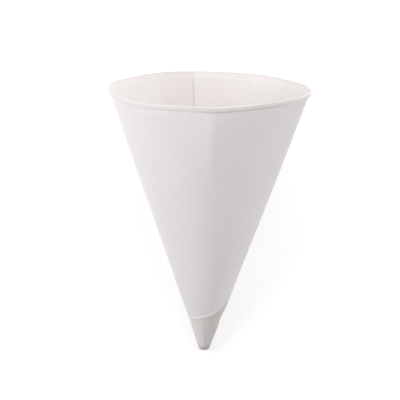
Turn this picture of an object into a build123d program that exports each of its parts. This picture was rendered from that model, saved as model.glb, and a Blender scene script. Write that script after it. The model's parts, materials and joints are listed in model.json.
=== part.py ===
from build123d import *
from math import acos, asin, atan2, copysign, cos, degrees, hypot, radians, sin, sqrt, tan
import os

# A cone paper cup, wound from one sheet of waxed paper, with a rolled rim.
# Millimetres and degrees. The cup is modelled upright, its tip near the origin,
# and laid on its side at the end, as it comes to rest on a table.

# Sizes over the outside
rim_diameter = 73.0
cup_height = 95.3
tip_diameter = 3.3

# The paper, and the rounds that it is bent to. The tight curl is drawn as flats
# that touch its round, so many to a quarter turn
paper = 0.18
tip_corner = 0.7
curl_depth = 0.68
curl_height = 1.7
curl_gap = 0.08
curl_flats = 3

# The blank: how far its ends lap at the rim, how near its straight cut passes
# to the point of the cone, and how much of a second turn it gives the tip
lap_at_rim = 9.6
cut_to_point = 17.85
second_turn = 310.0

# The folds that gather the tip: they start below the cut and lean as they run down
pleat_count = 10
pleat_below_cut = 1.5
pleat_width_top = 1.7
pleat_width_tip = 0.6
pleat_rise = 0.14
pleat_root = 0.12
pleat_lean = 16.0
pleat_margin = 14.0
pleat_long_side = 0.75
pleat_above_corner = 0.3

# How far the surface that trims the blank reaches past the paper
trim_inside = 1.0
trim_outside = 1.6
trim_above = 6.0
trim_past_corner = 8.0
trim_steps = 26
trim_bunching = 1.6

# The rolled rim, along the middle of the paper
curl_radius = (curl_depth - paper) / 2
curl_leg = curl_height - 2 * (curl_radius + paper / 2)
curl_tail = curl_radius - paper / 2 - curl_gap

# A second sheet over the first puts the outermost face one and a half sheets out
outer_face = 1.5 * paper

# The middle line of the inner sheet runs from the tip's corner to the curl
tip_point = Vector(tip_diameter / 2, outer_face)
curl_centre = Vector(rim_diameter / 2, cup_height) - Vector(1, 1) * (curl_radius + paper / 2)
reach = curl_centre - tip_point
half_angle = degrees(atan2(reach.X, reach.Y) - asin(curl_radius / reach.length))
slope = sin(radians(half_angle))
fall = cos(radians(half_angle))
tip_turn = 90 - half_angle
corner_run = tip_corner * tan(radians(tip_turn / 2))
wall_run = sqrt(reach.length**2 - curl_radius**2) - corner_run

# Slant distances start at the point where the middle line would meet the axis
point_height = tip_point.Y - tip_point.X / tan(radians(half_angle))
rim_slant = (cup_height - point_height) / fall

# Each turn of the sheet lies one paper outside the turn before it, so its two
# halves are struck from centres half a step apart
step = paper / fall
first_axis = Axis((0, 0, 0), (0, 0, 1))
shifted_axis = Axis((step / 2, 0, 0), (0, 0, 1))

# The sheet starts at azimuth 0 and winds clockwise, seen from the mouth. Its far
# edge is a straight cut of the blank, so on the cone it runs down beside the
# start, and then sweeps around the tip
lap_angle = degrees(lap_at_rim / (rim_slant * slope))
cut_foot = -lap_angle - degrees(acos(cut_to_point / rim_slant)) / slope


# A point on the wound paper: lift is measured outward from the inner sheet's middle
def on_the_paper(slant, azimuth, lift):
    radius = slant * slope + lift * fall
    height = point_height + slant * fall - lift * slope
    return Vector(radius * cos(radians(azimuth)), radius * sin(radians(azimuth)), height)


# One face of the sheet, offset from the middle line towards the cup's inside. Each
# run is a length, then a bend: its radius, its turn and its flats, or none for an arc
def sheet_face(offset, axis_at, runs):
    heading = 0
    corner = point = Vector(axis_at, tip_point.Y + offset)
    edges = []
    for length, radius, turn, flats in runs:
        ahead = Vector(1, 0).rotate(Axis.Z, heading)
        point += ahead * length
        bend = radius - offset if turn > 0 else radius + offset
        if flats:
            half_flat = bend * tan(radians(abs(turn) / flats / 2))
        elif turn:
            edges.append(Line(corner, point))
            edges.append(JernArc(point, ahead, bend, turn))
            corner = point = edges[-1] @ 1
            heading += turn
        for i in range(flats):
            edges.append(Line(corner, point + ahead * half_flat))
            corner = edges[-1] @ 1
            heading += turn / flats
            ahead = Vector(1, 0).rotate(Axis.Z, heading)
            point = corner + ahead * half_flat
    edges.append(Line(corner, point))
    return edges


# A strip of paper between two offsets, as a flat section that starts at an axis
def sheet_section(inner, outer, axis_at, runs):
    inside = sheet_face(inner, axis_at, runs)
    outside = sheet_face(outer, axis_at, runs)
    root = Line(inside[0] @ 0, outside[0] @ 0)
    end = Line(inside[-1] @ 1, outside[-1] @ 1)
    return make_face(inside + outside + [root, end])


def inner_sheet(axis_at):
    tip = (tip_point.X - corner_run - axis_at, tip_corner, tip_turn, 0)
    wall = (wall_run, curl_radius, -180, 2 * curl_flats)
    curl = [(curl_leg, curl_radius, -90, curl_flats), (curl_tail, 0, 0, 0)]
    return sheet_section(paper / 2, -paper / 2, axis_at, [tip, wall] + curl)


def outer_sheet(axis_at):
    tip = (tip_point.X - corner_run - axis_at, tip_corner, tip_turn, 0)
    wall = (wall_run, 0, 0, 0)
    return sheet_section(-paper / 2, -outer_face, axis_at, [tip, wall])


# Where the ends lap, the roll is pressed solid and is one paper thicker
def lapped_roll():
    along = Vector(slope, fall)
    outward = Vector(fall, -slope)
    middle = curl_centre + along * (curl_depth - curl_height) / 2 + outward * paper / 2
    straight = Vector(paper, curl_height - curl_depth) / 2
    spoke = curl_depth / 2 / cos(radians(45 / curl_flats))
    points = []
    for i in range(4 * curl_flats):
        bearing = radians((i + 0.5) * 90 / curl_flats)
        side = copysign(straight.X, cos(bearing)) + spoke * cos(bearing)
        rise = copysign(straight.Y, sin(bearing)) + spoke * sin(bearing)
        points.append(middle + outward * side + along * rise)
    return make_face(Polyline(points, close=True))


# A section stands on the half plane of -X, and is turned about either axis
def wind(section, axis, arc):
    upright = Plane(origin=(0, 0, 0), x_dir=(-1, 0, 0), z_dir=(0, 1, 0))
    return revolve(upright * section, axis=axis, revolution_arc=arc)


def first_turn():
    near = wind(inner_sheet(0), first_axis, 180)
    far = wind(inner_sheet(-step / 2), shifted_axis, -180)
    return near + far


# The straight cut, rolled up: distance along it counts from its nearest to the point
def on_the_cut(along, lift):
    sweep = degrees(atan2(along, cut_to_point)) / slope
    return on_the_paper(hypot(cut_to_point, along), cut_foot + sweep, lift)


def cut_surface():
    last_sweep = -second_turn - trim_past_corner - cut_foot
    last = cut_to_point * tan(radians(last_sweep * slope))
    first = rim_slant + trim_above
    places = [last + (first - last) * (i / trim_steps) ** trim_bunching for i in range(trim_steps + 1)]
    under = Edge.make_spline([on_the_cut(place, -trim_inside) for place in places])
    over = Edge.make_spline([on_the_cut(place, trim_outside) for place in places])
    return Face.make_surface_from_curves(under, over)


# What the blank has left for a second turn: the lap at the rim, and the tip's wrap
def second_layer():
    near = wind(outer_sheet(0) + lapped_roll(), first_axis, 180)
    far = wind(outer_sheet(-step / 2), shifted_axis, 180 - second_turn)
    pieces = (near + far).split(cut_surface(), keep=Keep.ALL)
    return pieces.sort_by(Axis.Z)[0]


# A pleat is a narrow fold, steeper on one side, sunk a little into the paper
def pleat_section(slant, azimuth, width):
    crest = on_the_paper(slant, azimuth, outer_face + pleat_rise)
    middle = on_the_paper(slant, azimuth, outer_face - pleat_root)
    sideways = Vector(-sin(radians(azimuth)), cos(radians(azimuth)), 0)
    foot = middle - sideways * width * pleat_long_side
    heel = middle + sideways * width * (1 - pleat_long_side)
    return Wire.make_polygon([foot, crest, heel])


def pleats():
    top_slant = cut_to_point - pleat_below_cut
    tip_slant = tip_point.X / slope + corner_run + pleat_above_corner
    spread = second_turn - 2 * pleat_margin
    for i in range(pleat_count):
        azimuth = -pleat_margin - spread * i / (pleat_count - 1)
        top = pleat_section(top_slant, azimuth, pleat_width_top)
        tip = pleat_section(tip_slant, azimuth + pleat_lean, pleat_width_tip)
        yield Solid.make_loft([top, tip], ruled=True)


# The cup lies where its lap ends: on the corner of the lapped roll, on the plain
# roll beside it, and on the lower ends of the pleats
def laid_down(cup):
    tip_round = Vector(tip_point.X - corner_run, tip_point.Y + tip_corner)
    roll_foot = curl_centre + Vector(slope, fall) * (curl_depth - curl_height)
    span = roll_foot - tip_round
    shrink = tip_corner + outer_face + pleat_rise - curl_depth / 2
    rest_angle = atan2(span.X, span.Y) - asin(shrink / span.length)
    lap_end = cut_foot + degrees(acos(cut_to_point * slope / roll_foot.X)) / slope
    plain_reach = roll_foot.X - paper * slope * tan(rest_angle)
    lean = degrees(acos(plain_reach / (roll_foot.X + paper * fall)))
    lying = Rot(degrees(rest_angle) - 90, 0, 0) * Rot(0, 0, 90 - lap_end + lean) * cup
    box = lying.bounding_box()
    return Pos(-box.center().X, -box.center().Y, -box.min.Z) * lying


def cone_cup():
    cup = first_turn() + second_layer()
    for pleat in pleats():
        cup += pleat
    return laid_down(cup)


os.makedirs("parts", exist_ok=True)
export_step(cone_cup(), "parts/cone_cup.step")
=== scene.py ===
import json
from math import acos, asin, atan2, cos, degrees, hypot, pi, radians, sin, sqrt, tan
import bmesh
import bpy
import numpy as np
from mathutils import Matrix, Vector


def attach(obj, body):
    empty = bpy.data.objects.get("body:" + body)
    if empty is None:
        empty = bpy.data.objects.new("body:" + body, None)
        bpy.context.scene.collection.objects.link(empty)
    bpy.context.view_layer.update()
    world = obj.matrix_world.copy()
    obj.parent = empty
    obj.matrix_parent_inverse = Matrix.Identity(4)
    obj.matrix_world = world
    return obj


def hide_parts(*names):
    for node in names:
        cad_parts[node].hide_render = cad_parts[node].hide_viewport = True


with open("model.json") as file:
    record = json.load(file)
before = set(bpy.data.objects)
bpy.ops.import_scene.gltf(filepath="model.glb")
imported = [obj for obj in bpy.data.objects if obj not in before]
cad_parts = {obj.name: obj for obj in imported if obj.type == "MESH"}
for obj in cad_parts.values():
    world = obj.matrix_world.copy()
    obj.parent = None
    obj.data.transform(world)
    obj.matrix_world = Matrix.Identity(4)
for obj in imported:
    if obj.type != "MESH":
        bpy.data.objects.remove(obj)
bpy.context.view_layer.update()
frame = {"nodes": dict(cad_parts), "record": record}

scene = bpy.context.scene
print("frame loaded:", sorted(frame["nodes"]))

# how the cup lies: its own axis comes from the record, from the tip to the mouth
mouthMount = next(m for m in frame["record"]["mounts"] if m["name"] == "dispenser_rim")
axisWay = np.array(mouthMount["axis"], float)
mouthMiddle = np.array(mouthMount["pos_m"], float)
acrossWay = np.array([1.0, 0.0, 0.0])
underWay = np.cross(axisWay, acrossWay)
mm = 0.001  # in metres

# the cup, in mm and degrees. Azimuths go round its own axis, from the start of the sheet
cup = {
    "rimDiameter": 73.0,  # over the roll
    "height": 95.3,
    "tipDiameter": 3.3,
    "paper": 0.18,
    "tipCorner": 1.1,  # pressed rounder than the part's own
    "curlDepth": 0.68,
    "curlHeight": 1.7,
    "lapAtRim": 9.6,  # how far the ends of the sheet lap at the rim
    "cutToPoint": 17.85,  # how near the straight cut passes to the cone's point
    "secondTurn": 310.0,  # how much of a second turn the tip gets
    "layerGap": 0.012,  # air between the two layers
    "restTurn": 111.35,  # turn about its own axis, as it lies
    "blankMiddle": 3.0,  # from the point of the flat blank to the middle of the tip
}

# the same sums as the part's own: the middle line runs from the tip's corner to the curl
paper = cup["paper"]
curlRadius = (cup["curlDepth"] - paper) / 2
tipX, tipZ = cup["tipDiameter"] / 2, 1.5 * paper
curlX = cup["rimDiameter"] / 2 - curlRadius - paper / 2
curlZ = cup["height"] - curlRadius - paper / 2
reach = hypot(curlX - tipX, curlZ - tipZ)
halfAngle = atan2(curlX - tipX, curlZ - tipZ) - asin(curlRadius / reach)
slope, fall = sin(halfAngle), cos(halfAngle)
cornerRun = cup["tipCorner"] * tan((pi / 2 - halfAngle) / 2)
wallRun = sqrt(reach**2 - curlRadius**2) - cornerRun
pointZ = tipZ - tipX / tan(halfAngle)
rimSlant = (cup["height"] - pointZ) / fall  # slant distances start at the cone's point
step = paper / fall
lapAngle = degrees(cup["lapAtRim"] / (rimSlant * slope))
cutFoot = -lapAngle - degrees(acos(cup["cutToPoint"] / rimSlant)) / slope
cornerMiddle = np.array([tipX - cornerRun, tipZ + cup["tipCorner"]])
alongWall = np.array([slope, fall])
outOfWall = np.array([fall, -slope])
wallFoot = hypot(tipX, tipZ - pointZ) + cornerRun  # where the wall starts

grid = {
    "wideStep": 1.2,  # degrees between columns on the wall
    "tipStep": 1.9,  # and on the tip's second turn
    "bottomRows": 4,
    "cornerRows": 6,
    "lowWallRows": 44,
    "highWallRows": 14,
    "highWallFrom": 0.87,  # share of the wall where the rows close up
    "neckRows": 18,
    "neckFrom": 0.965,  # and again, under the roll
    "weld": 2e-7,  # metres
    "sharpAngle": 40.0,
}

# how the sheet passes over its own start. The turn is 0 there and runs backwards, in degrees.
# Here and in the dictionaries below, From is where a thing starts to come or go, and Over is
# the length or angle that this takes
layers = {
    "coverFrom": -330.0,  # it moves outside the layer before
    "coverOver": 30.0,
    "nestFrom": -357.0,  # its roll goes inside the roll of the layer before
    "nestOver": 3.0,
    "lapOver": 2.4,  # past the lap, the roll that holds another is plain again
}

# the rolled rim in section: bends along the middle of the paper, and an outside that
# leans out from a tight top, and tucks in at its foot
curl = {
    "bend": 0.15,
    "hook": 0.2,
    "nestedBend": 0.1,  # of the layer that is rolled up inside the other
    "leanOut": 27.0,
    "nestedLean": 24.0,
    "leanIn": 12.0,
    "nestedIn": 10.0,
    "tail": 0.08,
    "bendRows": 10,
    "legRows": 10,
    "hookRows": 7,
}


def smooth(t):
    t = np.clip(t, 0.0, 1.0)
    return t * t * (3 - 2 * t)


def upFrom(share, t):
    # from a share of the whole, up to all of it
    return share + (1 - share) * smooth(t)


def bell(distance, width):
    return np.exp(-((distance / width) ** 2))


def wrapped(angle):
    return (angle + 180) % 360 - 180


def cutSlant(turn):
    # slant distance of the straight cut, rolled up on the cone
    return cup["cutToPoint"] / np.cos(np.radians((turn + 360 - cutFoot) * slope))


def columnFacts(turns):
    # what each column of the sheet has. The second half of a turn climbs outwards. The one
    # column at -360 gets that climb and the cover too, so it stands out as a faint ridge
    climb = step * (1 + np.cos(np.radians(turns))) / 2
    radial = np.where(turns > -180, 0.0, climb)
    radial = np.where(turns < -360, 0.0, radial)
    radial = np.where(turns < -540, climb, radial)
    over = smooth((layers["coverFrom"] - turns) / layers["coverOver"])
    nested = smooth((layers["nestFrom"] - turns) / layers["nestOver"])
    lapped = 1 - smooth((-lapAngle - turns) / layers["lapOver"])
    return {
        "over": over,
        "shift": radial * np.where(turns > -360, 1 - over, 1.0),
        "bend": curl["bend"] + (curl["nestedBend"] - curl["bend"]) * nested,
        "hook": curl["hook"] + (curl["nestedBend"] - curl["hook"]) * nested,
        "height": cup["curlHeight"] - paper - 2 * paper * nested,
        "leanOut": curl["leanOut"] + (curl["nestedLean"] - curl["leanOut"]) * nested,
        "leanIn": curl["leanIn"] + (curl["nestedIn"] - curl["leanIn"]) * nested,
        "rise": (curlRadius + paper / 2) - paper * nested,
        "across": paper * lapped,
    }


def bottomAndWall(facts, reachUp):
    # rows from the axis out, round the corner and up the wall: points and inward normals
    over = facts["over"] * (paper + cup["layerGap"])
    radius = cup["tipCorner"] + over
    rows, normals = [], []
    for i in range(grid["bottomRows"]):
        out = cornerMiddle[0] * i / grid["bottomRows"]
        height = cornerMiddle[1] - radius
        keep = i / grid["bottomRows"]
        rows.append(np.stack([out + facts["shift"] * keep, height], 1))
        normals.append((0.0, 1.0))
    turnUp = pi / 2 - halfAngle
    for i in range(grid["cornerRows"]):
        a = turnUp * i / grid["cornerRows"]
        r = cornerMiddle[0] + radius * sin(a) + facts["shift"]
        rows.append(np.stack([r, cornerMiddle[1] - radius * cos(a)], 1))
        normals.append((-sin(a), cos(a)))
    low = np.linspace(0, grid["highWallFrom"], grid["lowWallRows"], endpoint=False)
    high = np.linspace(grid["highWallFrom"], grid["neckFrom"], grid["highWallRows"], endpoint=False)
    neck = np.linspace(grid["neckFrom"], 1, grid["neckRows"])
    for share in np.concatenate([low, high, neck]):
        r = cornerMiddle[0] + radius * fall + facts["shift"] + slope * reachUp * share
        z = cornerMiddle[1] - radius * slope + fall * reachUp * share
        rows.append(np.stack([r, z], 1))
        normals.append((-fall, slope))
    return rows, normals


def rolledRim(facts, top):
    # rows over the roll: up and over, down its outside, and the hook that ends it
    rows, normals = [], []
    out, under = np.radians(facts["leanOut"]), np.radians(facts["leanIn"])
    rest = facts["height"] - facts["bend"] * (1 - np.sin(out)) - facts["hook"] * (1 - np.sin(under))
    arcs = [
        (facts["bend"], pi - out, curl["bendRows"], facts["across"]),
        (rest / (np.sin(out) + np.sin(under)), out + under, curl["legRows"], 0),
        (facts["hook"], pi / 2 - under, curl["hookRows"], 0),
    ]
    x, y, heading = out * 0, out * 0, out * 0 + pi / 2
    for radius, turn, count, across in arcs:
        centreX, centreY = x + radius * np.sin(heading), y - radius * np.cos(heading)
        for i in range(1, count + 1):
            a = heading - turn * i / count
            rowX = centreX - radius * np.sin(a) + across * smooth(i / count)
            rowY = centreY + radius * np.cos(a)
            rows.append(top + np.outer(rowX, outOfWall) + np.outer(rowY, alongWall))
            normals.append(np.outer(-np.sin(a), outOfWall) + np.outer(np.cos(a), alongWall))
        x, y, heading = rowX, rowY, a
    rows.append(top + np.outer(x - curl["tail"], outOfWall) + np.outer(y, alongWall))
    normals.append(-alongWall)
    return rows, normals


# what shapes the whole wall, in mm and degrees. Places are slant distances or, where the
# note says so, below the rim
relief = {
    "tipFrom": 6.0,  # there is none nearer to the point
    "tipOver": 6.0,
    "foldAt": -187.6,  # the soft fold down the front
    "foldHeight": 1.6,
    "foldLeft": 6.0,  # how far its two flanks reach
    "foldRight": 8.0,
    "foldCrest": 0.8,
    "foldFrom": 12.0,  # below the rim
    "foldOver": 28.0,
    "backFoldAt": 16.4,  # a fold that shows inside, on the far wall
    "backFoldHeight": 0.3,
    "backFoldWidth": 3.0,
    "backFoldCrest": 0.7,
    "backFoldFrom": 20.0,  # below the rim
    "backFoldOver": 30.0,
    "lapValley": 0.45,  # inside, the wall sinks towards the start of the sheet
    "lapValleyLeft": 17.0,  # degrees that its two sides take
    "lapValleyRight": 34.0,
    "stiffRim": 1.5,  # the rim is stiff this far down
    "stiffShare": 0.4,  # and lets this share of the folds through
    "stiffOver": 7.0,
    "unevenness": 0.09,
    "unevenFrom": 9.0,
    "unevenOver": 22.0,
    "unevenTwist": 0.012,  # how its waves lean as they run up the wall
    "unevenRimOver": 10.0,
    "rimWaves": 0.07,
    "rimReach": 5.5,  # how far below the stiff rim the small waves reach
    "rimLift": 0.05,  # they lift the roll too, a little out of step
    "rimLiftShift": 40.0,
    "rimLiftOver": 3.0,
    "dipReach": 30.0,
    "neck": 0.045,  # the pinched ring right under the roll
    "neckOutside": 0.13,  # and how much thinner the paper is pressed there
    "neckBelow": 0.62,
    "neckReach": 0.36,
    "neckFade": 3.6,  # it reaches so many times as far on its lower side
    "tipPinch": 0.48,  # the tip is pressed thinner than the wound sheet would be
    "pinchFrom": 24.0,
    "pinchOver": 9.0,
    "axisOver": 0.8,  # nothing is pushed aside on the cup's own axis
    "startWorn": 0.6,  # share of its thickness that the start of the sheet has lost
    "startWornOver": 1.3,
    "smallWaves": 46,  # in the rim, and how wide they are
    "smallWaveWidth": (1.5, 3.6),
    "seed": 11,
}
# where the mouth is lower than a true circle: azimuth, spread in degrees, and mm
rimDips = [(-241.6, 34, 1.32), (-139.0, 26, -0.66), (15.0, 22, -0.3), (-186, 20, 0.3),
           (41.0, 20, 0.4), (-62.0, 14, 0.22)]
# the waves that show on the far side of the mouth: azimuth, spread and size
farRipples = [(18.0, 2.2, 1.6), (7.6, 2.4, -1.3), (3.6, 1.6, 1.4), (-1.5, 1.8, -1.0),
              (-24.4, 2.2, 1.5), (-31.6, 2.0, -1.2), (-14.0, 3.5, 0.7)]
# the unevenness: so many waves to a turn, and their sizes
waveCount = np.array([2, 3, 4, 5, 7])
waveSize = np.array([0.5, 0.9, 0.7, 0.5, 0.35])
rng = np.random.default_rng(relief["seed"])
wavePhase = rng.uniform(0, 2 * pi, len(waveCount))
ripples = [(rng.uniform(0, 360), rng.uniform(*relief["smallWaveWidth"]), rng.uniform(-1, 1))
           for i in range(relief["smallWaves"])]


def ridge(distance, width, crest):
    # a fold: straight flanks that die away, and a soft crest
    soft = np.sqrt(distance**2 + crest**2) - crest
    return np.exp(-soft / width)


def ripple(azimuth):
    # small waves that the rolling leaves in the rim
    total = np.zeros_like(azimuth)
    for centre, width, size in ripples + farRipples:
        total += size * bell(wrapped(azimuth - centre), width)
    return total


def rimDip(azimuth, slant):
    # how far the wall and its rim slide down, towards the tip
    dip = sum(size * bell(wrapped(azimuth - centre), width) for centre, width, size in rimDips)
    return dip * smooth((slant - rimSlant + relief["dipReach"]) / relief["dipReach"])


def neckRing(slant):
    below = rimSlant - slant
    past = below - cup["curlHeight"] - relief["neckBelow"]
    lower = relief["neckFade"] * relief["neckReach"]
    return bell(past, np.where(past < 0, relief["neckReach"], lower)) * smooth(below)


def wallRelief(azimuth, slant):
    # outward, in mm, the same for both layers
    arc = np.radians(1.0) * slant * slope
    below = rimSlant - slant
    rimShare = upFrom(relief["stiffShare"], (below - relief["stiffRim"]) / relief["stiffOver"])

    side = wrapped(azimuth - relief["foldAt"])
    flank = np.where(side < 0, relief["foldLeft"], relief["foldRight"])
    fold = ridge(side * arc, flank, relief["foldCrest"])
    fade = 1 - smooth((below - relief["foldFrom"]) / relief["foldOver"])
    out = relief["foldHeight"] * fold * fade * rimShare

    side = wrapped(azimuth - relief["backFoldAt"])
    fold = ridge(side * arc, relief["backFoldWidth"], relief["backFoldCrest"])
    fade = 1 - smooth((below - relief["backFoldFrom"]) / relief["backFoldOver"])
    out = out - relief["backFoldHeight"] * fold * fade * rimShare

    side = wrapped(azimuth)
    wide = np.where(side > 0, relief["lapValleyLeft"], relief["lapValleyRight"])
    valley = 1 - np.abs(side) / wide
    valley = smooth(valley * 0.5 + 0.5 * np.clip(valley, 0, 1))
    out = out + relief["lapValley"] * valley * np.clip(slant / rimSlant, 0, 1) * rimShare

    angle = np.radians(azimuth)
    waves = sum(s * np.cos(n * angle + p + relief["unevenTwist"] * n * slant)
                for n, p, s in zip(waveCount, wavePhase, waveSize))
    low = smooth((slant - relief["unevenFrom"]) / relief["unevenOver"])
    high = upFrom(relief["stiffShare"], below / relief["unevenRimOver"])
    out = out + relief["unevenness"] * waves * low * high

    near = bell(np.maximum(below - relief["stiffRim"], 0), relief["rimReach"])
    out = out + relief["rimWaves"] * ripple(azimuth) * near
    return out - relief["neck"] * neckRing(slant)


# the folds of the tip's second turn: leaning ones, as the part's source has them, and small
# ones between
pleat = {
    "count": 10,
    "belowCut": 1.5,
    "widthTop": 1.7,
    "widthTip": 0.6,
    "narrowTo": 1.05,  # how far down they go on narrowing, where the part's own end at 1
    "longSide": 0.75,
    "heel": 0.12,  # softens the steep side
    "fullness": 1.15,
    "rise": 0.19,
    "lean": 16.0,
    "margin": 14.0,
    "aboveCorner": 0.3,
    "swing": 0.22,  # how far they differ in size
    "swingTurn": 2.4,
    "swingStart": 0.7,
    "small": [(0.45, 0.5), (1.6, 0.4), (2.4, 0.55), (3.55, 0.45), (4.4, 0.35), (5.5, 0.6),
              (6.42, 0.5), (6.7, 0.3), (7.5, 0.55), (8.35, 0.45), (8.7, 0.35)],  # place and size
    "smallWidth": 0.55,
    "topOver": 2.2,
    "tipFrom": 3.4,
    "tipOver": 1.6,
    "leastSlant": 2.0,  # nearer to the point, they spread over no more degrees
    "turnFrom": -356.0,
    "turnOver": 4.0,
}


def pleatRelief(turn, slant):
    azimuth = turn + 360
    top = cup["cutToPoint"] - pleat["belowCut"]
    tip = tipX / slope + cornerRun + pleat["aboveCorner"]
    down = (top - slant) / (top - tip)
    narrow = np.clip(down, 0, pleat["narrowTo"])
    full = pleat["widthTop"] + (pleat["widthTip"] - pleat["widthTop"]) * narrow
    folds = [(i, 1 + pleat["swing"] * sin(pleat["swingTurn"] * i + pleat["swingStart"]), 1.0)
             for i in range(pleat["count"])]
    folds += [(place, size, pleat["smallWidth"]) for place, size in pleat["small"]]
    room = cup["secondTurn"] - 2 * pleat["margin"]
    out = np.zeros_like(slant)
    for place, size, share in folds:
        centre = -pleat["margin"] - room * place / (pleat["count"] - 1) + pleat["lean"] * down
        width = full * share
        off = (azimuth - centre) * np.radians(1.0) * np.maximum(slant, pleat["leastSlant"]) * slope
        long = width * pleat["longSide"]
        short = width * (1 - pleat["longSide"]) + pleat["heel"]
        hill = np.where(off < 0, 1 + off / long, 1 - off / short)
        out = np.maximum(out, size * smooth(hill * pleat["fullness"]))
    out = pleat["rise"] * out * smooth((top - slant) / pleat["topOver"])
    out = out * smooth((slant - pleat["tipFrom"]) / pleat["tipOver"])
    return out * smooth((pleat["turnFrom"] - turn) / pleat["turnOver"])


# the cut edge at the tip is swollen and soft, with the slack of the whole wrap below it.
# Further up, beside the seam, it is pressed flat and hardly shows
cutEdge = {
    "lip": 0.23,
    "lipReach": 1.1,
    "lipRound": 0.3,
    "slack": 0.04,
    "slackReach": 9.0,
    "slackFrom": 5.0,
    "slackOver": 4.0,
    "looseFrom": 26.0,
    "looseOver": 6.0,
    "looseMiddle": 0.8,  # and how this swings around the tip
    "looseSwing": 0.3,
    "looseTurn": 3.1,
    "pressed": 0.1,
    "pressedReach": 1.6,
    "pressedFrom": 22.0,
    "pressedOver": 4.0,
    "pressedTurnOver": 3.0,  # it starts under the roll
}


def cutEdgeRelief(turns, slant, cut, inner):
    edge = np.maximum(cut - slant, 0)
    swing = cutEdge["looseSwing"] * np.cos(np.radians(turns * cutEdge["looseTurn"]))
    loose = smooth((cutEdge["looseFrom"] - cut) / cutEdge["looseOver"])
    loose = loose * (cutEdge["looseMiddle"] + swing)
    slack = smooth(1 - edge / cutEdge["slackReach"])
    slack = slack * smooth((slant - cutEdge["slackFrom"]) / cutEdge["slackOver"])
    out = cutEdge["slack"] * loose * slack
    if not inner:
        soft = np.sqrt(1 - (1 - np.minimum(edge / cutEdge["lipRound"], 1)) ** 2)
        out = out + cutEdge["lip"] * loose * soft * smooth(1 - edge / cutEdge["lipReach"])
        flush = smooth((cut - cutEdge["pressedFrom"]) / cutEdge["pressedOver"])
        flush = flush * smooth(1 - edge / cutEdge["pressedReach"])
        flush = flush * smooth((-360 - lapAngle - turns) / cutEdge["pressedTurnOver"])
        out = out - cutEdge["pressed"] * flush
    return out


# how much painted shade darkens the paper, from 0 to 1, and where
shadeMarks = {
    # the paper is darker towards the point
    "tip": 0.1,
    "tipFrom": 8.5,
    "tipOver": 4.0,
    "end": 0.6,  # painted shade over the very end of the tip
    "endFrom": 6.5,
    "endOver": 0.9,
    "wrap": 0.13,  # painted shade on the tip's second turn
    "wrapRight": 0.4,  # and how much more painted shade its right side has, seen from the front, away from the key lamp
    "wrapRightFrom": -590.0,
    "wrapRightOver": 90.0,
    "wrapEdge": 0.35,  # its cut edge is free of it
    "wrapEdgeOver": 0.5,
    "wrapTopFrom": 30.0,
    "wrapTopOver": 8.0,
    "seamShade": 0.12,  # a faint band of painted shade inside, beside the start of the sheet
    "seamShadeFrom": -336.0,
    "seamShadeOver": 4.0,
    "seamShadeFootFrom": 40.0,
    "seamShadeFootOver": 30.0,
    # painted shade along the top of the roll, where the lamps light it most
    "rollTopShade": 0.18,
    "rollTopShadeReach": 0.8,
    "rollTopShadeOver": 0.5,
    "rollShadow": 0.72,  # painted shadow right under the roll, at the front right
    "rollShadowBelow": 0.4,
    "rollShadowReach": 0.3,
    "rollShadowLeftFrom": -200.0,
    "rollShadowLeftOver": 16.0,
    "rollShadowRightFrom": -133.0,
    "rollShadowRightOver": 8.0,
}


def paintedShade(turns, slant, inner, cut):
    s = shadeMarks
    shadeAmount = s["tip"] * smooth((s["tipFrom"] - slant) / s["tipOver"])
    # painted shade over the very end of the tip
    shadeAmount = shadeAmount + s["end"] * smooth((s["endFrom"] - slant) / s["endOver"])
    if cut is not None:
        # painted shade on the tip's second turn, more on its right side, none on its cut edge
        right = smooth((turns - s["wrapRightFrom"]) / s["wrapRightOver"])
        wrap = s["wrap"] + s["wrapRight"] * right
        wrap = wrap * smooth((cut - slant - s["wrapEdge"]) / s["wrapEdgeOver"])
        shadeAmount = shadeAmount + wrap * smooth((s["wrapTopFrom"] - slant) / s["wrapTopOver"])
    elif inner:
        # inside, painted shade beside the start of the sheet and along the top of the roll
        seamShade = s["seamShade"] * smooth((s["seamShadeFrom"] - turns) / s["seamShadeOver"])
        shadeAmount = shadeAmount + seamShade * smooth((slant - s["seamShadeFootFrom"]) / s["seamShadeFootOver"])
        top = slant - rimSlant + s["rollTopShadeReach"]
        shadeAmount = shadeAmount + s["rollTopShade"] * smooth(top / s["rollTopShadeOver"])
    else:
        # outside, a painted shadow right under the roll
        below = rimSlant - slant - cup["curlHeight"] - s["rollShadowBelow"]
        rollShadow = s["rollShadow"] * bell(below, s["rollShadowReach"])
        rollShadow = rollShadow * smooth((turns - s["rollShadowLeftFrom"]) / s["rollShadowLeftOver"])
        shadeAmount = shadeAmount + rollShadow * smooth((s["rollShadowRightFrom"] - turns) / s["rollShadowRightOver"])
    return np.clip(shadeAmount, 0, 1)


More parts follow.
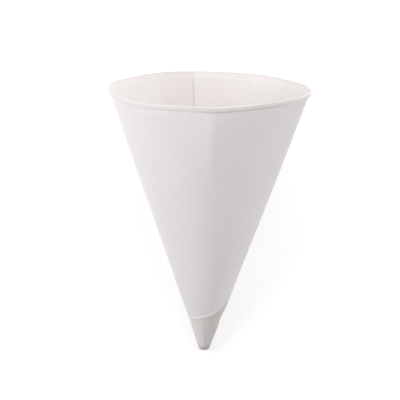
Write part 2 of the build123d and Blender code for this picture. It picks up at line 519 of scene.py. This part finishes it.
def sheetFace(turns, rows, normals, inner, cut=None):
    # one face of the sheet, laid down in metres, with each point's place on the flat blank
    # and how much painted shade it has there. Where the straight cut ends it, cut is its slant
    # distance
    offset = paper / 2 if inner else -paper / 2
    out = np.zeros((len(turns), len(rows), 3))
    flat = np.zeros((len(turns), len(rows), 4))
    c = np.cos(np.radians(turns + cup["restTurn"]))
    s = np.sin(np.radians(turns + cup["restTurn"]))
    radialWay = c[:, None] * acrossWay + s[:, None] * underWay
    thin = 1 - relief["startWorn"] * smooth(1 + turns / relief["startWornOver"]) * inner
    spin = np.radians(turns * slope)
    run = np.zeros(len(turns))
    last = rows[0]
    for i, (row, normal) in enumerate(zip(rows, normals)):
        point = row + offset * thin[:, None] * np.array(normal)
        run = run + np.hypot(*(row - last).T)
        last = row
        slant = np.hypot(row[:, 0], row[:, 1] - pointZ)
        onWall = np.minimum(slant, rimSlant)
        push = wallRelief(turns, onWall)
        push = push * smooth((slant - relief["tipFrom"]) / relief["tipOver"])
        if not inner:
            push = push - relief["neckOutside"] * neckRing(onWall)
        pinch = relief["tipPinch"] * smooth((relief["pinchFrom"] - slant) / relief["pinchOver"])
        tip = pleatRelief(turns, slant) - pinch
        push = push + tip * np.clip(row[:, 0] / relief["axisOver"], 0, 1)
        if cut is not None:
            push = push + cutEdgeRelief(turns, slant, cut, inner)
        lift = relief["rimLift"] * ripple(turns + relief["rimLiftShift"])
        lift = lift * smooth((slant - rimSlant + relief["rimLiftOver"]) / relief["rimLiftOver"])
        lift = lift - rimDip(turns, slant)
        point = point + push[:, None] * outOfWall + lift[:, None] * alongWall
        out[:, i] = radialWay * point[:, :1] + axisWay * (point[:, 1:] - cup["height"])
        flat[:, i, 0] = (run + cup["blankMiddle"]) * np.cos(spin)
        flat[:, i, 1] = (run + cup["blankMiddle"]) * np.sin(spin)
        flat[:, i, 2] = offset
        flat[:, i, 3] = paintedShade(turns, slant, inner, cut)
    return mouthMiddle + out * mm, flat


class Skin:
    # points and faces of the whole sheet, and which faces are bare cut paper
    def __init__(self):
        self.points, self.flat, self.faces, self.bare = [], [], [], []
        self.count = 0

    def addGrid(self, points, flat):
        index = np.arange(points.shape[0] * points.shape[1]).reshape(points.shape[:2]) + self.count
        self.points.append(points.reshape(-1, 3))
        self.flat.append(flat.reshape(-1, 4))
        self.count += index.size
        return index

    def addQuads(self, a, b, c, d, bare=False):
        quads = np.stack([a, b, c, d], -1).reshape(-1, 4)
        self.faces.append(quads)
        self.bare.append(np.full(len(quads), bare))

    def addEdge(self, near, far):
        # bare paper between the two faces
        self.addQuads(near[:-1], far[:-1], far[1:], near[1:], True)

    def addSheet(self, turns, rows, normals, cut=None):
        # a stretch of the sheet: its two faces, and the bare edge along their last row
        inside = self.addGrid(*sheetFace(turns, rows, normals, True, cut))
        outside = self.addGrid(*sheetFace(turns, rows, normals, False, cut))
        self.addQuads(inside[:-1, :-1], inside[:-1, 1:], inside[1:, 1:], inside[1:, :-1])
        self.addQuads(outside[:-1, :-1], outside[1:, :-1], outside[1:, 1:], outside[:-1, 1:])
        self.addEdge(inside[:, -1], outside[:, -1])
        return inside, outside


def makeConeCup():
    skin = Skin()
    # the first turn and the lap, with the roll. It has a bare start, and a bare end where
    # the lap stops inside the roll
    wide = np.linspace(0, -360, round(360 / grid["wideStep"]) + 1)
    lap = np.linspace(-360, -360 - lapAngle, round(lapAngle / grid["wideStep"]) + 1)[1:]
    turns = np.concatenate([wide, lap])
    facts = columnFacts(turns)
    reachUp = wallRun + facts["rise"] - paper / 2 - facts["bend"]
    rows, normals = bottomAndWall(facts, reachUp)
    top = len(rows) - 1
    more, moreNormals = rolledRim(facts, rows[top])
    inside, outside = skin.addSheet(turns, rows + more, normals + moreNormals)
    skin.addEdge(inside[0], outside[0])
    skin.addEdge(outside[-1, top:], inside[-1, top:])

    # the rest of the second turn, up to the straight cut
    columns = round((cup["secondTurn"] - lapAngle) / grid["tipStep"]) + 1
    turns = np.linspace(-360 - lapAngle, -360 - cup["secondTurn"], columns)
    facts = columnFacts(turns)
    cut = cutSlant(turns)
    cutReach = cut - wallFoot - facts["shift"] * slope
    cutReach[0] = reachUp[-1]
    inside, outside = skin.addSheet(turns, *bottomAndWall(facts, cutReach), cut)
    skin.addEdge(outside[-1], inside[-1])

    piece = bpy.data.objects.new("coneCup", meshOf(skin))
    scene.collection.objects.link(piece)
    return piece


def meshOf(skin):
    mesh = bpy.data.meshes.new("coneCup")
    points = np.concatenate(skin.points)
    points[:, 2] = np.maximum(points[:, 2], 0)  # paper gives where it rests
    mesh.from_pydata(points.tolist(), [], np.concatenate(skin.faces).tolist())
    mesh.polygons.foreach_set("material_index", np.concatenate(skin.bare).astype(np.int32))
    flat = np.concatenate(skin.flat)
    blank = mesh.attributes.new("blank", "FLOAT_VECTOR", "POINT")
    blank.data.foreach_set("vector", flat[:, :3].ravel())
    # how much painted shade each point has
    waxAndShade = mesh.attributes.new("paintedShade", "FLOAT", "POINT")
    waxAndShade.data.foreach_set("value", np.ascontiguousarray(flat[:, 3]))
    shape = bmesh.new()
    shape.from_mesh(mesh)
    bmesh.ops.remove_doubles(shape, verts=shape.verts, dist=grid["weld"])
    bmesh.ops.recalc_face_normals(shape, faces=shape.faces)
    shape.to_mesh(mesh)
    shape.free()
    mesh.polygons.foreach_set("use_smooth", np.ones(len(mesh.polygons), bool))
    mesh.set_sharp_from_angle(angle=radians(grid["sharpAngle"]))
    return mesh


# noise sizes are in turns to the millimetre of the flat blank, and bump distances in metres
waxedPaper = {
    "colour": (0.9, 0.861, 0.855),
    "cloudy": (0.884, 0.844, 0.837),
    # the colour that the painted shade darkens towards
    "paintedShade": (0.56, 0.5, 0.475),
    "cloudSize": 0.42,
    "cloudDetail": 5,
    "cloudRoughness": 0.55,
    "fibreSize": 4.2,
    "fibreDetail": 3,
    "fibreRoughness": 0.7,
    "fibreShare": 0.5,  # of the bump, next to the clouds
    "roughness": (0.46, 0.56),
    "refraction": 1.45,
    "waxAndShade": 0.2,
    "waxRoughness": 0.42,
    "bump": 0.06,
    "bumpDistance": 0.0005,
}
cutPaper = {
    "colour": (0.93, 0.91, 0.9),
    "fibreSize": 6.0,
    "fibreDetail": 4,
    "fibreRoughness": 0.75,
    "roughness": 0.85,
    "bump": 0.2,
    "bumpDistance": 0.0002,
}
noiseRange = (0.3, 0.7)  # where most of a noise lies


def attribute(tree, name):
    node = tree.nodes.new("ShaderNodeAttribute")
    node.attribute_name = name
    return node


def newPaper(name):
    # a material, and the vector that lays its noise on the flat blank
    material = bpy.data.materials.new(name)
    material.use_nodes = True
    tree = material.node_tree
    return material, tree, tree.nodes["Principled BSDF"], attribute(tree, "blank").outputs["Vector"]


def noise(tree, vector, scale, detail, roughness):
    node = tree.nodes.new("ShaderNodeTexNoise")
    node.inputs["Scale"].default_value = scale
    node.inputs["Detail"].default_value = detail
    node.inputs["Roughness"].default_value = roughness
    tree.links.new(vector, node.inputs["Vector"])
    return node.outputs["Fac"]


def spread(tree, value, low, high):
    node = tree.nodes.new("ShaderNodeMapRange")
    node.inputs["From Min"].default_value = noiseRange[0]
    node.inputs["From Max"].default_value = noiseRange[1]
    node.inputs["To Min"].default_value = low
    node.inputs["To Max"].default_value = high
    tree.links.new(value, node.inputs["Value"])
    return node.outputs["Result"]


def mixColour(tree, factor, second):
    node = tree.nodes.new("ShaderNodeMix")
    node.data_type = "RGBA"
    node.inputs["B"].default_value = (*second, 1)
    tree.links.new(factor, node.inputs["Factor"])
    return node


def addBump(tree, shader, height, settings):
    bump = tree.nodes.new("ShaderNodeBump")
    bump.inputs["Strength"].default_value = settings["bump"]
    bump.inputs["Distance"].default_value = settings["bumpDistance"]
    tree.links.new(height, bump.inputs["Height"])
    tree.links.new(bump.outputs["Normal"], shader.inputs["Normal"])


def makeWaxedPaper():
    s = waxedPaper
    material, tree, shader, where = newPaper("waxedPaper")
    cloud = noise(tree, where, s["cloudSize"], s["cloudDetail"], s["cloudRoughness"])
    fibre = noise(tree, where, s["fibreSize"], s["fibreDetail"], s["fibreRoughness"])
    mix = mixColour(tree, spread(tree, cloud, 0.0, 1.0), s["cloudy"])
    mix.inputs["A"].default_value = (*s["colour"], 1)
    # the painted shade darkens the paper's colour
    darker = mixColour(tree, attribute(tree, "paintedShade").outputs["Fac"], s["paintedShade"])
    tree.links.new(mix.outputs["Result"], darker.inputs["A"])
    tree.links.new(darker.outputs["Result"], shader.inputs["Base Color"])
    tree.links.new(spread(tree, cloud, *s["roughness"]), shader.inputs["Roughness"])
    shader.inputs["IOR"].default_value = s["refraction"]
    shader.inputs["Coat Weight"].default_value = s["waxAndShade"]
    shader.inputs["Coat Roughness"].default_value = s["waxRoughness"]
    both = tree.nodes.new("ShaderNodeMath")
    both.operation = "MULTIPLY_ADD"
    both.inputs[1].default_value = s["fibreShare"]
    tree.links.new(fibre, both.inputs[0])
    tree.links.new(cloud, both.inputs[2])
    addBump(tree, shader, both.outputs["Value"], s)
    return material


def makeCutPaper():
    s = cutPaper
    material, tree, shader, where = newPaper("cutPaper")
    fibre = noise(tree, where, s["fibreSize"], s["fibreDetail"], s["fibreRoughness"])
    shader.inputs["Base Color"].default_value = (*s["colour"], 1)
    shader.inputs["Roughness"].default_value = s["roughness"]
    addBump(tree, shader, fibre, s)
    return material


cupPiece = makeConeCup()
cupPiece.data.materials.append(makeWaxedPaper())
cupPiece.data.materials.append(makeCutPaper())
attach(cupPiece, "root")
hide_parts("cone_cup")
print("cup made:", len(cupPiece.data.polygons), "faces")

# the photo shows the cup upright, seen from a little above its mouth
cameraSettings = {
    "distance": 3.0,
    "focalPixels": 8376.7,
    "imagePixels": 400,
    "sensorWidth": 36.0,
    "clip": (0.05, 20),
    "aboveMouth": 10.53,
    "lean": 1.2,
    "frontAt": -189.6,  # the azimuth of the sheet that faces the camera
    "aimHeight": 50.0,  # a point of the axis, in mm from the tip
    "aimPixel": (207.01, 213.18),  # and where it shows
}


def cupWay(azimuth):
    turned = radians(azimuth + cup["restTurn"])
    return acrossWay * cos(turned) + underWay * sin(turned)


frontWay = cupWay(cameraSettings["frontAt"])
rightWay = cupWay(cameraSettings["frontAt"] + 90)


def makeCamera():
    s = cameraSettings
    e, lean = radians(s["aboveMouth"]), radians(s["lean"])
    back = frontWay * cos(e) + axisWay * sin(e)
    up = axisWay * cos(e) - frontWay * sin(e)
    right = rightWay * cos(lean) + up * sin(lean)
    up = up * cos(lean) - rightWay * sin(lean)
    size = s["distance"] / s["focalPixels"]
    middle = s["imagePixels"] / 2
    aim = mouthMiddle + axisWay * (s["aimHeight"] - cup["height"]) * mm
    aim = aim - right * (s["aimPixel"][0] - middle) * size + up * (s["aimPixel"][1] - middle) * size
    data = bpy.data.cameras.new("camera")
    data.sensor_width = s["sensorWidth"]
    data.lens = s["focalPixels"] * data.sensor_width / s["imagePixels"]
    data.clip_start, data.clip_end = s["clip"]
    camera = bpy.data.objects.new("camera", data)
    scene.collection.objects.link(camera)
    spin = Matrix((right, up, back)).transposed()
    camera.matrix_world = Matrix.Translation(aim + back * s["distance"]) @ spin.to_4x4()
    scene.camera = camera


makeCamera()
print("camera set")

studio = {
    "floorSize": 6.0,
    "floorColour": 0.86,
    "floorGlow": 0.66,  # what the camera sees of the floor: this, and a share of its light
    "floorShare": 0.44,
    "ambient": 0.27,
    "background": 1.0,
}
# around from the camera's side of the cup and up from its mouth, in degrees, then how far
# off and how wide, in metres, and watts
lamps = {
    "key": (-63.0, 6.0, 0.35, 0.26, 0.69),
    "front": (25.0, 1.0, 0.31, 0.2, 0.3),
    "top": (70.0, 75.0, 0.9, 0.6, 5.6),
}


def grey(level):
    return (level, level, level, 1)


def switched(tree, lighting, seen):
    # the first shader lights the cup, and the camera sees the second, straight, in a
    # reflection or through glass
    path = tree.nodes.new("ShaderNodeLightPath")
    total = path.outputs["Is Camera Ray"]
    for name in ("Is Glossy Ray", "Is Transmission Ray"):
        add = tree.nodes.new("ShaderNodeMath")
        add.operation = "MAXIMUM"
        tree.links.new(total, add.inputs[0])
        tree.links.new(path.outputs[name], add.inputs[1])
        total = add.outputs["Value"]
    mix = tree.nodes.new("ShaderNodeMixShader")
    tree.links.new(total, mix.inputs["Fac"])
    tree.links.new(lighting, mix.inputs[1])
    tree.links.new(seen, mix.inputs[2])
    return mix.outputs["Shader"]


def makeFloor():
    half = studio["floorSize"] / 2
    mesh = bpy.data.meshes.new("floor")
    corners = [(-half, -half, 0), (half, -half, 0), (half, half, 0), (-half, half, 0)]
    mesh.from_pydata(corners, [], [(0, 1, 2, 3)])
    floor = bpy.data.objects.new("floor", mesh)
    scene.collection.objects.link(floor)
    material = bpy.data.materials.new("floor")
    material.use_nodes = True
    tree = material.node_tree
    tree.nodes.clear()
    matt = tree.nodes.new("ShaderNodeBsdfDiffuse")
    matt.inputs["Color"].default_value = grey(studio["floorColour"])
    shadowed = tree.nodes.new("ShaderNodeBsdfDiffuse")
    shadowed.inputs["Color"].default_value = grey(studio["floorShare"])
    glow = tree.nodes.new("ShaderNodeEmission")
    glow.inputs["Strength"].default_value = studio["floorGlow"]
    add = tree.nodes.new("ShaderNodeAddShader")
    tree.links.new(shadowed.outputs["BSDF"], add.inputs[0])
    tree.links.new(glow.outputs["Emission"], add.inputs[1])
    end = tree.nodes.new("ShaderNodeOutputMaterial")
    both = switched(tree, matt.outputs["BSDF"], add.outputs["Shader"])
    tree.links.new(both, end.inputs["Surface"])
    mesh.materials.append(material)


def makeWorld():
    world = bpy.data.worlds.new("studio")
    scene.world = world
    world.use_nodes = True
    tree = world.node_tree
    tree.nodes.clear()
    lights = []
    for strength in (studio["ambient"], studio["background"]):
        light = tree.nodes.new("ShaderNodeBackground")
        light.inputs["Color"].default_value = grey(1)
        light.inputs["Strength"].default_value = strength
        lights.append(light.outputs["Background"])
    end = tree.nodes.new("ShaderNodeOutputWorld")
    tree.links.new(switched(tree, *lights), end.inputs["Surface"])


def makeLight(name, around, up, distance, size, power):
    # placed about the mouth, and facing it
    a, e = radians(around), radians(up)
    way = (frontWay * cos(a) + rightWay * sin(a)) * cos(e) + axisWay * sin(e)
    data = bpy.data.lights.new(name, "AREA")
    data.shape = "DISK"
    data.size = size
    data.energy = power
    lamp = bpy.data.objects.new(name, data)
    scene.collection.objects.link(lamp)
    lamp.location = mouthMiddle + way * distance
    lamp.rotation_euler = Vector(way).to_track_quat("Z", "Y").to_euler()
    lamp.visible_camera = False


makeFloor()
makeWorld()
for name, place in lamps.items():
    makeLight(name, *place)
scene.view_settings.view_transform = "Standard"
print("studio set")
